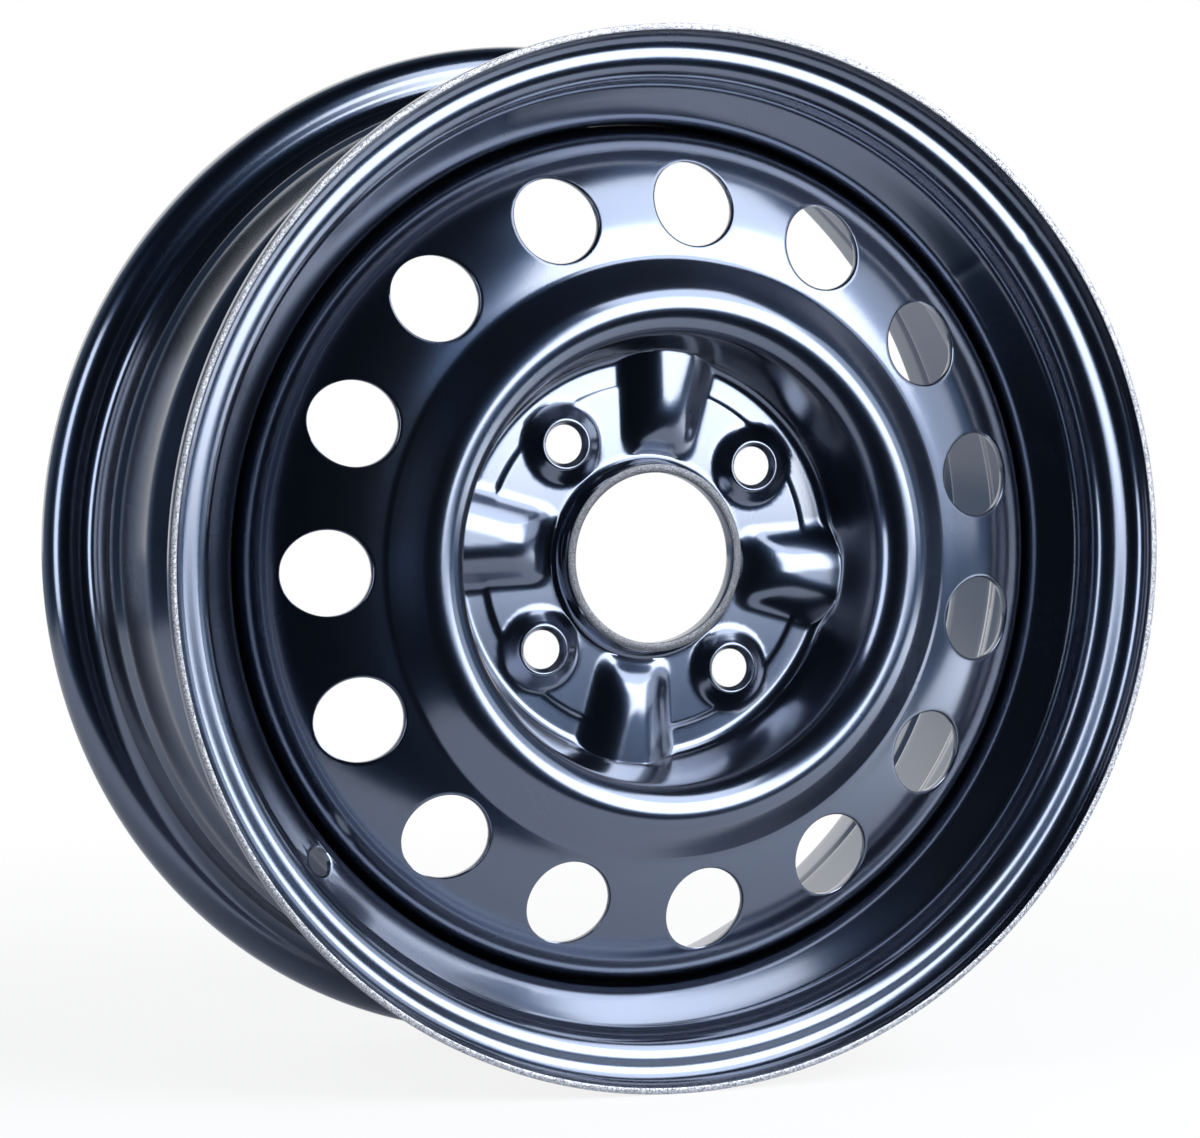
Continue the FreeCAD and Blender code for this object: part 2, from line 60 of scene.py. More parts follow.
# Rim: a strip of 2.5 mm steel rolled into a hoop, butt-welded and roll-formed to a J contour, with
# flanges, bead seats, a drop well and a valve hole. The disc is welded into the well, and the two
# are painted black together. Sizes are in millimetres. "Reach" is measured towards -Y, outboard.
MM = 0.001
FULL_TURN = 2 * math.pi
rim_sheet = 2.5
flange_radius = cad_high[2] / MM
flange_bend = 10
lip_reach = -cad_low[1] / MM
bead_radius = 190.1
bead_reach = 76.2
bead_bend = 6.5
seat_radius = 188.7
seat_reach = 60.2
seat_bend = 9
well_radius = 172.8
well_front = 49
well_back = 16
well_bend = 7
ledge_radius = 186.9
ledge_front = -8
ledge_back = -46.5
hump_radius = 189.31
hump_reach = -51.1
hump_foot_radius = 188.31
hump_foot_reach = -55.7
hump_bend = 4
rim_corners = [
    (flange_radius, lip_reach, 0),
    (flange_radius, bead_reach, flange_bend),
    (bead_radius, bead_reach, bead_bend),
    (seat_radius, seat_reach, seat_bend),
    (well_radius, well_front, well_bend),
    (well_radius, well_back, well_bend),
    (ledge_radius, ledge_front, seat_bend),
    (ledge_radius, ledge_back, hump_bend),
    (hump_radius, hump_reach, hump_bend),
    (hump_foot_radius, hump_foot_reach, hump_bend),
    (bead_radius, -bead_reach, bead_bend),
    (flange_radius, -bead_reach, flange_bend),
    (flange_radius, -lip_reach, 0),
]


def swung(arm, angle):
    """A flat vector turned about its foot."""
    return Vector((arm.x * math.cos(angle) - arm.y * math.sin(angle),
                   arm.x * math.sin(angle) + arm.y * math.cos(angle)))


def fold(corners, sheet, turn_step=9.0, run_step=5.0):
    """Both faces of a folded sheet, as (radius, reach) rows, from the corners and bends of one face."""
    spots = [Vector(corner[:2]) for corner in corners]
    face = []
    back = []

    def mark(point, aim):
        face.append(point)
        back.append(point + Vector((aim.y, -aim.x)) * sheet)

    here = spots[0]
    for index in range(1, len(spots)):
        before = (spots[index] - spots[index - 1]).normalized()
        last = index == len(spots) - 1
        turn = 0.0
        if not last:
            after = (spots[index + 1] - spots[index]).normalized()
            turn = -before.angle_signed(after)
        bend = corners[index][2]
        trim = bend * math.tan(abs(turn) / 2)
        end = spots[index] - before * trim
        runs = max(1, math.ceil((end - here).length / run_step))
        for step in range(runs):
            mark(here.lerp(end, step / runs), before)
        if last:
            mark(end, before)
            break
        centre = end + Vector((-before.y, before.x)) * math.copysign(bend, turn)
        by_turn = math.ceil(math.degrees(abs(turn)) / turn_step)
        by_run = math.ceil(bend * abs(turn) / run_step)
        steps = max(2, by_turn, by_run)
        for step in range(steps):
            swing = turn * step / steps
            mark(centre + swung(end - centre, swing), swung(before, swing))
        here = spots[index] + after * trim
    return np.array(face), np.array(back)


def place(radius, reach, angle):
    """Points in millimetres from cylinder coordinates about the wheel axis."""
    radius, reach, angle = np.broadcast_arrays(radius, reach, angle)
    return np.stack([radius * np.cos(angle), -reach, radius * np.sin(angle)], axis=-1)


def ring(spot, angles):
    """One (radius, reach) spot of a section, swept round the wheel axis."""
    return place(spot[0], spot[1], angles)


class Skin:
    """Points and faces of one piece while it is put together, each face with the number of its finish."""

    def __init__(self):
        self.points = []
        self.faces = []
        self.finishes = []
        self.count = 0

    def add(self, points, faces, finish=0):
        self.points.append(np.asarray(points, float).reshape(-1, 3))
        self.faces += [[corner + self.count for corner in face] for face in faces]
        self.finishes += [finish] * len(faces)
        self.count += len(self.points[-1])

    def rows(self, rows, finish=0, skip=None):
        """A band of quads between rings of points that close on themselves."""
        rows = np.asarray(rows)
        count = rows.shape[1]
        faces = []
        for row in range(len(rows) - 1):
            for column in range(count):
                if skip and skip(row, column):
                    continue
                beside = (column + 1) % count
                faces.append((row * count + column, row * count + beside,
                              (row + 1) * count + beside, (row + 1) * count + column))
        self.add(rows, faces, finish)


def finish_piece(name, skin, finishes, replaces, sharp=38):
    """Turn a skin into a smooth shaded object that stands in for a CAD node."""
    mesh = bpy.data.meshes.new(name)
    mesh.from_pydata(np.concatenate(skin.points) * MM, [], skin.faces)
    for finish in finishes:
        mesh.materials.append(finish)
    mesh.polygons.foreach_set("material_index", skin.finishes)
    same_point = 0.002 * MM
    build = bmesh.new()
    build.from_mesh(mesh)
    bmesh.ops.remove_doubles(build, verts=build.verts, dist=same_point)
    bmesh.ops.recalc_face_normals(build, faces=build.faces)
    build.to_mesh(mesh)
    build.free()
    mesh.shade_smooth()
    mesh.set_sharp_from_angle(angle=math.radians(sharp))
    piece = bpy.data.objects.new(name, mesh)
    bpy.context.scene.collection.objects.link(piece)
    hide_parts(replaces)
    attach(piece, "root")


def holed_patch(radii, angles, rings, clear):
    """Triangles over a grid of radii and angles, with a hole left inside the first ring of places."""
    middle = (radii[0] + radii[-1]) / 2
    places = [tuple(spot) for loop in rings for spot in loop]
    places += [(radius, angle) for radius in radii for angle in angles if clear(radius, angle)]
    flat = [Vector((radius, angle * middle)) for radius, angle in places]
    edge = len(rings[0])
    hole = [(index, (index + 1) % edge) for index in range(edge)]
    triangles, origin = delaunay_2d_cdt(flat, hole, [], 0, 1e-7)[2:4]
    faces = [[origin[corner][0] for corner in face] for face in triangles]
    return np.array(places), [face for face in faces if min(face) < 0 or max(face) >= edge]


def linear(code):
    """Linear colour from an sRGB hex code."""
    parts = [int(code[index:index + 2], 16) / 255 for index in (1, 3, 5)]
    return tuple(part / 12.92 if part <= 0.04045 else ((part + 0.055) / 1.055) ** 2.4
                 for part in parts) + (1.0,)


def node(tree, kind, inputs=None, **settings):
    """Add a node with its settings. An input is a value, or a socket to link."""
    made = tree.nodes.new(kind)
    for key, value in settings.items():
        setattr(made, key, value)
    for key, value in (inputs or {}).items():
        if isinstance(value, bpy.types.NodeSocket):
            tree.links.new(value, made.inputs[key])
        else:
            made.inputs[key].default_value = value
    return made


def new_material(name):
    """An empty material and its node tree."""
    material = bpy.data.materials.new(name)
    material.use_nodes = True
    material.node_tree.nodes.clear()
    return material, material.node_tree


# Gloss black enamel, sprayed and baked on pressed steel: near black with a cool sheen, a faint
# orange peel that breaks up the edges of reflections, and dull patches where it is thinner.
enamel, tree = new_material("black enamel on steel")
peel_size = 1.6
peel_depth = 0.02
patch_size = 45.0
spot = node(tree, "ShaderNodeTexCoord").outputs["Object"]
peel = node(tree, "ShaderNodeTexNoise", {"Vector": spot, "Scale": 1 / (peel_size * MM), "Detail": 1.0})
patches = node(tree, "ShaderNodeTexNoise", {"Vector": spot, "Scale": 1 / (patch_size * MM), "Detail": 4.0})
dull = node(tree, "ShaderNodeMapRange", {
    "Value": patches.outputs["Fac"], "From Min": 0.35, "From Max": 0.7, "To Min": 0.21, "To Max": 0.29})
relief = node(tree, "ShaderNodeBump", {
    "Height": peel.outputs["Fac"], "Strength": 0.05, "Distance": peel_depth * MM})
paint = node(tree, "ShaderNodeBsdfPrincipled", {
    "Base Color": linear("#06070a"), "Roughness": dull.outputs["Result"], "IOR": 1.9,
    "Specular Tint": linear("#7ab0ff"), "Coat Weight": 1.0, "Coat Roughness": 0.16, "Coat IOR": 2.0,
    "Normal": relief.outputs["Normal"], "Coat Normal": relief.outputs["Normal"]})
node(tree, "ShaderNodeOutputMaterial", {"Surface": paint.outputs["BSDF"]})


def sheared(name, deep, glint_tips):
    """Finish of a cut edge: the torn grain of the shear, darker in its pits and pale and metallic on its
    tips, as painted glints along the edge.
    """
    material, tree = new_material(name)
    grain_size = 0.5
    grain_depth = 0.15
    spot = node(tree, "ShaderNodeTexCoord").outputs["Object"]
    grain = node(tree, "ShaderNodeTexNoise", {"Vector": spot, "Scale": 1 / (grain_size * MM), "Detail": 5.0})
    tips = node(tree, "ShaderNodeMapRange", {
        "Value": grain.outputs["Fac"], "From Min": 0.36, "From Max": 0.72, "To Min": 0.0, "To Max": 1.0})
    # A grey and a pale metallic colour mixed over the grain paint the edge's glints into its colour.
    shade = node(tree, "ShaderNodeMix", {
        "Factor": tips.outputs["Result"], "A": linear(deep), "B": linear(glint_tips)}, data_type="RGBA")
    relief = node(tree, "ShaderNodeBump", {
        "Height": grain.outputs["Fac"], "Strength": 0.4, "Distance": grain_depth * MM})
    cut = node(tree, "ShaderNodeBsdfPrincipled", {
        "Base Color": shade.outputs["Result"], "Metallic": tips.outputs["Result"], "Roughness": 0.36,
        "Normal": relief.outputs["Normal"]})
    node(tree, "ShaderNodeOutputMaterial", {"Surface": cut.outputs["BSDF"]})
    return material


# Lip of the flange: the cut edge of the strip, a pale line with fine dark flecks; its pale colour and
# metallic tips are painted glints along the edge.
lip_edge_glints = sheared("sheared edge with painted glints", "#4a4d55", "#d0d4dc")

tyre_side, air_side = fold(rim_corners, rim_sheet)
valve_radius = mounts["valve_hole"]["dims"]["r_mm"]
valve_x, valve_y, valve_z = (part / MM for part in mounts["valve_hole"]["pos_m"])
valve_angle = math.atan2(valve_z, valve_x)
column_step = math.radians(1.25)
columns = valve_angle + column_step * np.arange(round(FULL_TURN / column_step))


def turn_between(angles, angle):
    """How far angles are from one angle, the short way round."""
    return (angles - angle + math.pi) % FULL_TURN - math.pi


# The hoop's butt weld is a low flattened ridge straight across the strip, on the air side.
seam_angle = math.radians(39.5)
seam_width = 6.0
seam_height = 0.09
seam_columns = seam_angle + np.radians([-1.2, -0.9, -0.6, -0.4, -0.2, 0.0, 0.2, 0.4, 0.6, 0.9, 1.2])
seam_window = math.radians(1.5)
plain_columns = columns[np.abs(turn_between(columns, seam_angle)) > seam_window] % FULL_TURN
columns = np.sort(np.concatenate([plain_columns, seam_columns]))


def seam_lift(angles):
    """Height of the ridge at each angle, flat on top."""
    away = np.abs(turn_between(angles, seam_angle)) * well_radius
    return seam_height * np.clip(1.2 - away * 2 / seam_width, 0, 1)


def edged(face, back, first):
    """A cut edge of a sheet as a row of spots from one face to the other, its corners rounded."""
    edge_round = 0.4
    end = 0 if first else -1
    aim = face[1] - face[0] if first else face[-2] - face[-1]
    aim = aim / np.linalg.norm(aim) * edge_round
    across = back[end] - face[end]
    return [face[end] + aim, face[end] + aim * 0.3 + across * 0.04, face[end] + across * 0.16,
            face[end] + across * 0.5, back[end] - across * 0.16, back[end] + aim * 0.3 - across * 0.04,
            back[end] + aim]


rim = Skin()
lip_front = edged(tyre_side, air_side, True)
lip_rear = edged(tyre_side, air_side, False)
tyre_rows = np.concatenate([[lip_front[0]], tyre_side[1:-1], [lip_rear[0]]])
air_rows = np.concatenate([[lip_front[-1]], air_side[1:-1], [lip_rear[-1]]])

# Both faces of the strip, with a window left in the slope for the valve hole
slope_low = 50.0
slope_high = 59.5
slope_rows = [index for index, spot in enumerate(tyre_rows) if slope_low < spot[1] < slope_high]
first_row = min(slope_rows) - 2
last_row = max(slope_rows) + 2
valve_window = math.radians(4.4)
from_valve = turn_between(columns, valve_angle)
inside = [index for index in range(len(columns)) if abs(from_valve[index]) <= valve_window]


def in_window(row, column):
    return first_row <= row < last_row and inside[0] <= column < inside[-1]


for rows, lift in ((tyre_rows, 0.0), (air_rows, seam_lift(columns))):
    grid = []
    for index, spot in enumerate(rows):
        ahead = rows[min(index + 1, len(rows) - 1)] - rows[max(index - 1, 0)]
        normal = np.array([ahead[1], -ahead[0]]) / np.linalg.norm(ahead)
        grid.append(place(spot[0] + normal[0] * lift, spot[1] + normal[1] * lift, columns))
    rim.rows(grid, skip=in_window)
for edge in (lip_front, lip_rear):
    rim.rows([ring(spot, columns) for spot in edge[:2]])
    rim.rows([ring(spot, columns) for spot in edge[1:6]], finish=1)
    rim.rows([ring(spot, columns) for spot in edge[5:]])

# The valve hole goes square through the slope, with a small rolled edge on both faces.
valve_points = 40
valve_roll = 0.5
valve_land = 1.3
valve_clear = 2.2
valve_spin = np.arange(valve_points) * FULL_TURN / valve_points
valve_spot = np.array([math.hypot(valve_x, valve_z), -valve_y])
hole_edges = []
for rows in (tyre_rows, air_rows):
    stretch = rows[first_row:last_row + 1]
    lengths = np.concatenate([[0], np.cumsum(np.linalg.norm(np.diff(stretch, axis=0), axis=1))])
    nearest = []
    for index in range(len(stretch) - 1):
        leg = stretch[index + 1] - stretch[index]
        share = np.clip(np.dot(valve_spot - stretch[index], leg) / np.dot(leg, leg), 0, 1)
        off = np.linalg.norm(stretch[index] + leg * share - valve_spot)
        nearest.append((off, lengths[index] + share * np.linalg.norm(leg)))
    centre_at = min(nearest)[1]
    rings = []
    for size in (valve_radius + valve_roll, valve_radius + valve_land):
        turns = size * np.sin(valve_spin) / valve_spot[0]
        rings.append(np.stack([centre_at + size * np.cos(valve_spin), turns], axis=1))
    spots, faces = holed_patch(
        lengths, from_valve[inside], rings,
        lambda at, turn: math.hypot(at - centre_at, turn * valve_spot[0]) > valve_radius + valve_clear)
    radii = np.interp(spots[:, 0], lengths, stretch[:, 0])
    reaches = np.interp(spots[:, 0], lengths, stretch[:, 1])
    points = place(radii, reaches, spots[:, 1] + valve_angle)
    rim.add(points, faces)
    hole_edges.append(points[:valve_points])
hole_wall = (hole_edges[0] + hole_edges[1]) / 2
hole_middle = hole_wall.mean(axis=0)
hole_wall = hole_middle + (hole_wall - hole_middle) * valve_radius / (valve_radius + valve_roll)
through = (hole_edges[1] - hole_edges[0]) / 2
rim.rows([hole_edges[0], hole_wall - through * 0.7, hole_wall + through * 0.7, hole_edges[1]])
finish_piece("rolled_rim", rim, [enamel, lip_edge_glints], "rim")

# Disc: one round stamping of 3.5 mm steel, drawn into a crown and a domed vent band, pierced with
# vents, lug holes and a collared bore, with raised lug seats and ribs pressed in between.
# It is pushed into the rim's well and welded there.
disc_sheet = 3.5
fit_gap = 0.1
step_height = 0.6
bore_radius = mounts["hub_bore"]["dims"]["r_mm"]
hub_face = -mounts["hub_face"]["pos_m"][1] / MM
pad_front = hub_face + disc_sheet
centre_front = pad_front + step_height
collar_radius = bore_radius + disc_sheet
collar_reach = 59.6
collar_bend = 4
step_inner = 67.7
step_outer = 69.1
step_bend = 4.2
step_foot_bend = 0.7
pad_radius = 80
pad_bend = 5
crown_radius = 92
crown_reach = 95.4
crown_bend = 12
valley_radius = 117.95
valley_reach = 75.1
valley_bend = 6
dome_radius = 140.3
dome_reach = 72
dome_bend = 80
shoulder_reach = 51.4
shoulder_bend = 30
disc_flange = well_radius - rim_sheet - fit_gap
disc_end = 25.2
disc_corners = [
    (collar_radius, collar_reach, 0),
    (collar_radius, centre_front, collar_bend),
    (step_inner, centre_front, step_bend),
    (step_outer, pad_front, step_foot_bend),
    (pad_radius, pad_front, pad_bend),
    (crown_radius, crown_reach, crown_bend),
    (valley_radius, valley_reach, valley_bend),
    (dome_radius, dome_reach, dome_bend),
    (disc_flange, shoulder_reach, shoulder_bend),
    (disc_flange, disc_end, 0),
]
disc_face, disc_back = fold(disc_corners, disc_sheet, turn_step=7.0, run_step=4.5)
lug_count = mounts["lug_holes"]["dims"]["count"]
lug_circle = mounts["lug_holes"]["dims"]["pcd_mm"] / 2
lug_hole = mounts["lug_holes"]["dims"]["hole_r_mm"]
lug_angle = math.radians(38.26)
lug_pitch = FULL_TURN / lug_count
boss_radius = 15.75
boss_height = 4.1
boss_top = 9.8
boss_hollow = 12.5
boss_edge_front = 10.6
boss_edge_back = 9.4
rib_height = 7.1
rib_hollow = 8.8
rib_start = 41.5
rib_half = 13.5
rib_widening = 6.0
rib_flare = rib_widening / (pad_radius - rib_start)
rib_side = 9.0
rib_end = 11.0
rib_sheet = 3.0
rib_corner_ease = 0.7
rib_top_ease = 0.75
rib_root_ease = 2.4
boss_root_ease = 1.2
vent_count = 15
vent_radius = 16.5
vent_circle = 139.2
vent_angle = math.radians(85.07)
vent_pitch = FULL_TURN / vent_count
vent_roll = 0.8
hole_points = 72

# Radii where one zone of the mesh hands over to the next
hub_inner = collar_radius + collar_bend
hub_outer = 75.2
rib_outer = 84.5
form_outer = 90.5
vent_inner = 119.6
vent_outer = 158.5


def soft_min(one, two, blend):
    """The lower of two heights, eased where they meet."""
    ease = np.maximum(blend - np.abs(one - two), 0)
    return np.minimum(one, two) - ease * ease / (4 * blend)


def soft_max(one, two, blend):
    """The higher of two heights, eased where they meet."""
    return -soft_min(-np.asarray(one), -np.asarray(two), blend)


def section_reach(section, radius):
    """Reach of the plain pressing's face at a radius."""
    return np.interp(radius, section[:, 0], section[:, 1])


def hub_form(section, radius, angle, foot, rise, inset, boss_foot, boss_wide, boss_narrow):
    """Reach of one face of the pressing with its ribs and lug seats."""
    turn = (angle - lug_angle) % lug_pitch - lug_pitch / 2
    across = np.abs(radius * np.sin(turn))
    along = radius * np.cos(turn)
    side = (rib_half - inset + (along - rib_start) * rib_flare - across) / rib_side
    end = (along - rib_start - inset) / rib_end
    rib = foot + rise * soft_min(soft_min(side, end, rib_corner_ease), 1.0, rib_top_ease)
    swing = (angle - lug_angle + lug_pitch / 2) % lug_pitch - lug_pitch / 2
    off = np.hypot(radius * np.cos(swing) - lug_circle, radius * np.sin(swing))
    boss = boss_foot + boss_height * np.minimum((boss_wide - off) / (boss_wide - boss_narrow), 1.0)
    form = soft_max(section_reach(section, radius), rib, rib_root_ease)
    return soft_max(form, boss, boss_root_ease)


def face_form(radius, angle):
    """Reach of the outboard face."""
    return hub_form(disc_face, radius, angle, centre_front, rib_height, 0.0,
                    centre_front, boss_radius, boss_top)


def back_form(radius, angle):
    """Reach of the inboard face, hollow behind the ribs and seats."""
    return hub_form(disc_back, radius, angle, hub_face, rib_hollow, rib_sheet,
                    centre_front - disc_sheet, boss_hollow, lug_hole)


def ring_about(circle, hole):
    """Places round a hole's centre: radius from the wheel axis and angle from the hole's own angle."""
    spin = np.arange(hole_points) * FULL_TURN / hole_points
    along = circle + hole * np.cos(spin)
    across = hole * np.sin(spin)
    return np.stack([np.hypot(along, across), np.arctan2(across, along)], axis=1)


def from_hole(circle, radius, turn):
    """Distance of a place from a hole's centre."""
    return math.hypot(radius * math.cos(turn) - circle, radius * math.sin(turn))


def stretch_of(section, low, high):
    """Rows of a section between two radii, cut exactly there."""
    inner = section[(section[:, 0] > low + 0.05) & (section[:, 0] < high - 0.05)]
    ends = [[radius, section_reach(section, radius)] for radius in (low, high)]
    return np.concatenate([[ends[0]], inner, [ends[1]]])


def with_radii(section, rows, extra):
    """Rows of a section with more of them at extra radii, none closer than 0.2 mm to another."""
    extra = extra[np.abs(extra[:, None] - rows[:, 0]).min(axis=1) > 0.2]
    rows = np.concatenate([rows, np.stack([extra, section_reach(section, extra)], axis=1)])
    return rows[np.argsort(rows[:, 0])]


disc = Skin()
hub_run = 1.4
hub_columns = lug_angle - lug_pitch / 2 + np.radians(np.arange(360))
vent_start = vent_angle - vent_pitch / 2
column_shift = math.radians(((vent_start - hub_columns[0]) / math.radians(1) + 0.5) % 1 - 0.5)
vent_columns = hub_columns + column_shift
for section, form, boss_edge, rib_run in ((disc_face, face_form, boss_edge_front, 0.5),
                                          (disc_back, back_form, boss_edge_back, 1.5)):
    # Collar round the bore
    collar = section[section[:, 0] < hub_inner - 0.02]
    collar_rows = [ring(spot, hub_columns) for spot in collar[1:]]
    collar_rows.append(place(hub_inner, form(hub_inner, hub_columns), hub_columns))
    disc.rows(collar_rows)

    # Lug seats and ribs, one quarter at a time, with rings of points close round each seat
    radii = stretch_of(section, hub_inner, hub_outer)[:, 0]
    radii = np.concatenate([radii, np.arange(hub_inner + hub_run, hub_outer - hub_run / 2, hub_run)])
    radii = np.unique(radii.round(3))
    radii = radii[np.concatenate([[True], np.diff(radii) > 0.25])]
    radii[0] = hub_inner
    radii[-1] = hub_outer
    rings = [ring_about(lug_circle, boss_edge + wider) for wider in (0, 0.9, 2.0, 3.2)]
    for size in (boss_edge + 4.3, boss_radius, boss_radius + 0.8):
        wide = ring_about(lug_circle, size)
        rings.append(wide[(wide[:, 0] > hub_inner + 0.3) & (wide[:, 0] < hub_outer - 0.3)])
    spots, faces = holed_patch(
        radii, np.radians(np.arange(-45, 46)), rings,
        lambda radius, turn: from_hole(lug_circle, radius, turn) > boss_radius + 1.5
        or radius in (hub_inner, hub_outer))
    for lug in range(lug_count):
        angles = spots[:, 1] + lug_angle + lug * lug_pitch
        disc.add(place(spots[:, 0], form(spots[:, 0], angles), angles), faces)

    # Steep wall, crown and valley, with closer rows where the ribs run into the wall
    rows = stretch_of(section, hub_outer, vent_inner)
    rows = with_radii(section, rows, np.arange(pad_radius, rib_outer, rib_run))
    wall_rows = []
    for radius, reach in rows:
        share = np.clip((radius - rib_outer) / (vent_inner - rib_outer), 0, 1)
        angles = hub_columns + column_shift * share
        deep = form(radius, angles) if radius < form_outer else reach
        wall_rows.append(place(radius, deep, angles))
    disc.rows(wall_rows)

    # Vent band, one vent at a time
    rings = [ring_about(vent_circle, vent_radius + wider) for wider in (vent_roll, 2 * vent_roll)]
    spots, faces = holed_patch(
        np.linspace(vent_inner, vent_outer, 18), np.radians(np.arange(-12, 13)), rings,
        lambda radius, turn: from_hole(vent_circle, radius, turn) > vent_radius + 3 * vent_roll)
    for vent in range(vent_count):
        angles = spots[:, 1] + vent_angle - vent * vent_pitch
        disc.add(place(spots[:, 0], section_reach(section, spots[:, 0]), angles), faces)

    # Shoulder and flange
    rows = section[section[:, 0] > vent_outer + 0.05]
    rows = np.concatenate([[[vent_outer, section_reach(section, vent_outer)]], rows[:-1]])
    disc.rows([ring(spot, vent_columns) for spot in rows])

# Edges of the vents, rolled a little at the face and at the back
roll_steps = 3
for vent in range(vent_count):
    turn = vent_angle - vent * vent_pitch
    rows = []
    for section, inward in ((disc_face, -1), (disc_back, 1)):
        rolled = []
        for step in range(roll_steps + 1):
            lean = math.pi / 2 * step / roll_steps
            places = ring_about(vent_circle, vent_radius + vent_roll * (1 - math.sin(lean)))
            reach = section_reach(section, places[:, 0]) + inward * vent_roll * (1 - math.cos(lean))
            rolled.append(place(places[:, 0], reach, places[:, 1] + turn))
        rows += rolled if inward < 0 else rolled[::-1]
    disc.rows(rows)

# Lug seats: a rounded mouth, a 60 degree cone and a short straight hole, as the radius from the
# hole's own axis and the depth below the top of the boss
seat_profile = [(10.2, 0.18), (boss_top, 0.02), (9.4, 0.0), (9.1, 0.05), (8.95, 0.2), (8.8, 0.5), (8.4, 1.18),
                (8.0, 1.87), (7.7, 2.4), (lug_hole, 2.65), (lug_hole, 3.25), (7.8, 3.6), (8.5, 4.14)]
for lug in range(lug_count):
    turn = lug_angle + lug * lug_pitch
    front = ring_about(lug_circle, boss_edge_front)
    rear = ring_about(lug_circle, boss_edge_back)
    rows = [place(front[:, 0], face_form(front[:, 0], front[:, 1] + turn), front[:, 1] + turn)]
    for size, depth in seat_profile:
        places = ring_about(lug_circle, size)
        rows.append(place(places[:, 0], centre_front + boss_height - depth, places[:, 1] + turn))
    rows.append(place(rear[:, 0], back_form(rear[:, 0], rear[:, 1] + turn), rear[:, 1] + turn))
    disc.rows(rows)

# Sheared edges of the collar and of the flange
for first, angles in ((True, hub_columns), (False, vent_columns)):
    beside = 1 if first else -2
    edge = edged(disc_face, disc_back, first)
    disc.rows([ring(disc_face[beside], angles), ring(edge[0], angles)])
    disc.rows([ring(spot, angles) for spot in edge[:2]])
    disc.rows([ring(spot, angles) for spot in edge[1:6]], finish=1)
    disc.rows([ring(spot, angles) for spot in edge[5:]])
    disc.rows([ring(edge[-1], angles), ring(disc_back[beside], angles)])

# Cut edges of the bore and of the flange, painted over black: coloured dull grey with a few lighter metallic
# grains, a painted sheen and painted glints.
cut_edge_sheen = sheared("black sheared edge with painted sheen", "#1d1f25", "#7d818b")
finish_piece("stamped_disc", disc, [enamel, cut_edge_sheen], "disc")

# Weld runs: eight short fillet welds laid along the inboard edge of the disc's flange, where it
# meets the well. Each shows the overlapping ripples of the arc under the paint.
weld_count = 8
weld_arc = math.radians(22)
weld_start = math.radians(15)
weld_leg = 4.5
weld_radius = well_radius - rim_sheet
weld_depth = disc_sheet - 0.4
weld_taper = 3.0
ripple_pitch = 2.3
ripple_depth = 0.28
run_points = 116
bead_rows = 9
welds = Skin()
for run in range(weld_count):
    angles = weld_start + run * FULL_TURN / weld_count + weld_arc * np.linspace(0, 1, run_points)
    from_end = np.minimum(angles - angles[0], angles[-1] - angles) * weld_radius
    swell = np.sqrt(np.clip(from_end / weld_taper, 0.02, 1))
    phase = (angles - angles[0]) * weld_radius / ripple_pitch % 1.0
    ripple = ripple_depth * (1 - phase) ** 2
    rows = [place(weld_radius, disc_end, angles)]
    for lean in np.linspace(0, math.pi / 2, bead_rows):
        # A little fuller in the middle of the throat, where the ripples are deepest too
        bow = 0.9 + 0.08 * math.sin(2 * lean)
        size = swell * bow * (1 - ripple * math.sin(2 * lean) / 3.0)
        inward = weld_depth * math.sin(lean) * size
        behind = weld_leg * math.cos(lean) * size
        rows.append(place(weld_radius - inward, disc_end - behind, angles))
    grid = np.stack(rows, axis=1)
    welds.rows(grid)
    for end in (0, -1):
        welds.add(grid[end], [list(range(len(rows)))])
finish_piece("weld_runs", welds, [enamel], "weld_beads", sharp=50)

# Studio: a white floor board square to the camera, its front edge just out of the picture, a white
# backdrop far behind and a dim room round the camera. Softboxes stand in front to the right, above
# and further right, a strip stands at the left, and a lamp washes the floor on the right.


def board(name, corners, finish):
    """A flat board of the studio, from its four corners."""
    mesh = bpy.data.meshes.new(name)
    mesh.from_pydata(corners, [], [(0, 1, 2, 3)])
    mesh.materials.append(finish)
    made = bpy.data.objects.new(name, mesh)
    bpy.context.scene.collection.objects.link(made)


# Matt white floor: the camera sees it lifted to the white of the backdrop, with the wheel's shadow,
# and plain white further away, so that no horizon shows.
matt_white, tree = new_material("matt white floor")
pure_white = linear("#ffffff")
chalk = node(tree, "ShaderNodeBsdfDiffuse", {"Color": linear("#f4f6f9")})
place_on = node(tree, "ShaderNodeTexCoord").outputs["Object"]
away = node(tree, "ShaderNodeVectorMath", {0: place_on}, operation="LENGTH")
plainness = node(tree, "ShaderNodeMapRange", {
    "Value": away.outputs["Value"], "From Min": 0.35, "From Max": 0.9, "To Min": 0.86, "To Max": 1.0})
path = node(tree, "ShaderNodeLightPath")
seen = node(tree, "ShaderNodeMath", {
    0: path.outputs["Is Camera Ray"], 1: plainness.outputs["Result"]}, operation="MULTIPLY")
plain = node(tree, "ShaderNodeEmission", {"Color": pure_white, "Strength": 1.0})
surface = node(tree, "ShaderNodeMixShader", {
    "Fac": seen.outputs["Value"], 1: chalk.outputs["BSDF"], 2: plain.outputs["Emission"]})
node(tree, "ShaderNodeOutputMaterial", {"Surface": surface.outputs["Shader"]})
floor_turn = math.radians(-22.3)
floor_left = -0.9
floor_right = 2.0
floor_front = -0.28
floor_back = 4.4
floor_corners = [(floor_left, floor_front), (floor_right, floor_front),
                 (floor_right, floor_back), (floor_left, floor_back)]
turned = [swung(Vector(corner), floor_turn) for corner in floor_corners]
board("white_floor", [(corner.x, corner.y, cad_low[2]) for corner in turned], matt_white)

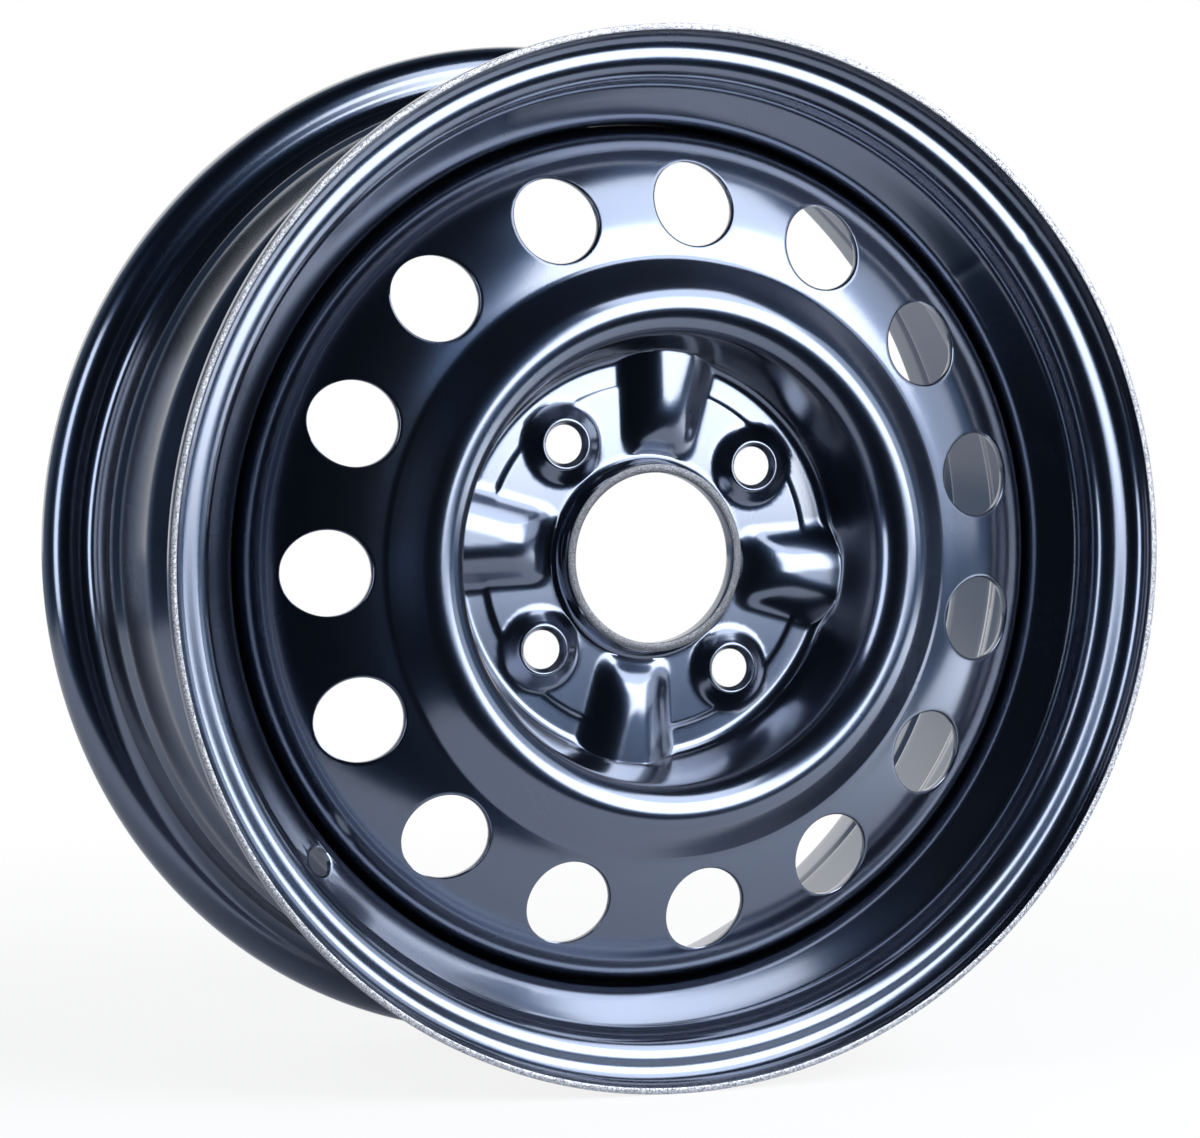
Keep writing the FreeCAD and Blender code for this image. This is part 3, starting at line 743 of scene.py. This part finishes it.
# Lit white backdrop: as white as the room behind it. It ends a little to the left of the wheel, so
# the inside of the barrel mirrors it and the left of the barrel stays dark.
lit_white, tree = new_material("lit white backdrop")
glow = node(tree, "ShaderNodeEmission", {"Color": pure_white, "Strength": 1.0})
node(tree, "ShaderNodeOutputMaterial", {"Surface": glow.outputs["Emission"]})
backdrop_at = 4.0
backdrop_left = -1.65
backdrop_right = 5.5
backdrop_top = 4.2
board("white_backdrop", [
    (backdrop_left, backdrop_at, cad_low[2]), (backdrop_right, backdrop_at, cad_low[2]),
    (backdrop_right, backdrop_at, backdrop_top), (backdrop_left, backdrop_at, backdrop_top)], lit_white)

# Room: white to the camera. The paint mirrors it dark in front, and paler behind and at the right.
world = bpy.data.worlds.new("white studio")
bpy.context.scene.world = world
world.use_nodes = True
world.cycles.sampling_method = "NONE"
tree = world.node_tree
tree.nodes.clear()
path = node(tree, "ShaderNodeLightPath")
aim = node(tree, "ShaderNodeTexCoord").outputs["Generated"]
split = node(tree, "ShaderNodeSeparateXYZ", {"Vector": aim})
behind = node(tree, "ShaderNodeMapRange", {
    "Value": split.outputs["Y"], "From Min": 0.0, "From Max": 1.0, "To Min": 0.015, "To Max": 0.35},
    interpolation_type="SMOOTHSTEP")
right_wall = node(tree, "ShaderNodeMapRange", {
    "Value": split.outputs["X"], "From Min": 0.6, "From Max": 1.0, "To Min": 0.0, "To Max": 0.4})
room_light = node(tree, "ShaderNodeMath", {
    0: behind.outputs["Result"], 1: right_wall.outputs["Result"]}, operation="ADD")
room_tint = node(tree, "ShaderNodeMix", {
    "Factor": behind.outputs["Result"], "A": linear("#b0d4ff"), "B": pure_white}, data_type="RGBA")
room = node(tree, "ShaderNodeBackground", {
    "Color": room_tint.outputs["Result"], "Strength": room_light.outputs["Value"]})
fill = node(tree, "ShaderNodeBackground", {"Color": linear("#e6ecf8"), "Strength": 0.3})
sky = node(tree, "ShaderNodeBackground", {"Color": pure_white, "Strength": 1.0})
lit = node(tree, "ShaderNodeMixShader", {
    "Fac": path.outputs["Is Glossy Ray"], 1: fill.outputs["Background"], 2: room.outputs["Background"]})
mixed = node(tree, "ShaderNodeMixShader", {
    "Fac": path.outputs["Is Camera Ray"], 1: lit.outputs["Shader"], 2: sky.outputs["Background"]})
node(tree, "ShaderNodeOutputWorld", {"Surface": mixed.outputs["Shader"]})


def softbox(name, stand, target, width, height, power, colour, spread=180):
    """A soft rectangular lamp that points at a target."""
    lamp = bpy.data.lights.new(name, "AREA")
    lamp.shape = "RECTANGLE"
    lamp.size = width
    lamp.size_y = height
    lamp.energy = power
    lamp.color = linear(colour)[:3]
    lamp.spread = math.radians(spread)
    holder = bpy.data.objects.new(name, lamp)
    holder.location = stand
    holder.rotation_euler = (Vector(target) - Vector(stand)).to_track_quat("-Z", "Y").to_euler()
    bpy.context.scene.collection.objects.link(holder)


hub = (0, 0, 0)
softbox("front softbox", (0.7, -1.4, 0.39), hub, 0.9, 0.95, 23, "#fdfeff")
softbox("high softbox", (0.66, -1.06, 1.13), hub, 1.0, 0.8, 13, "#f4f8ff")
softbox("right softbox", (1.17, -0.85, 0.39), hub, 0.5, 0.9, 2.4, "#f4f8ff")
softbox("left strip", (-1.44, -0.38, 0.25), hub, 0.45, 1.2, 10, "#f4f8ff")
softbox("floor wash", (0.8, -0.3, 0.75), (0.8, -0.3, 0), 0.4, 0.4, 2.6, "#ffffff", spread=50)

# Camera: a long lens a little to the left of the wheel and just above its middle, as in the photo
camera_at = Vector((-0.7151, -1.7501, 0.0973))
camera_aim = Vector((0.37807, 0.92412, -0.05530))
lens = bpy.data.cameras.new("photo camera")
lens.lens = 140.3
lens.sensor_width = 36
lens.clip_end = 50
camera = bpy.data.objects.new("photo camera", lens)
camera.location = camera_at
camera.rotation_euler = camera_aim.to_track_quat("-Z", "Y").to_euler()
bpy.context.scene.collection.objects.link(camera)
bpy.context.scene.camera = camera
bpy.context.scene.view_settings.view_transform = "Standard"
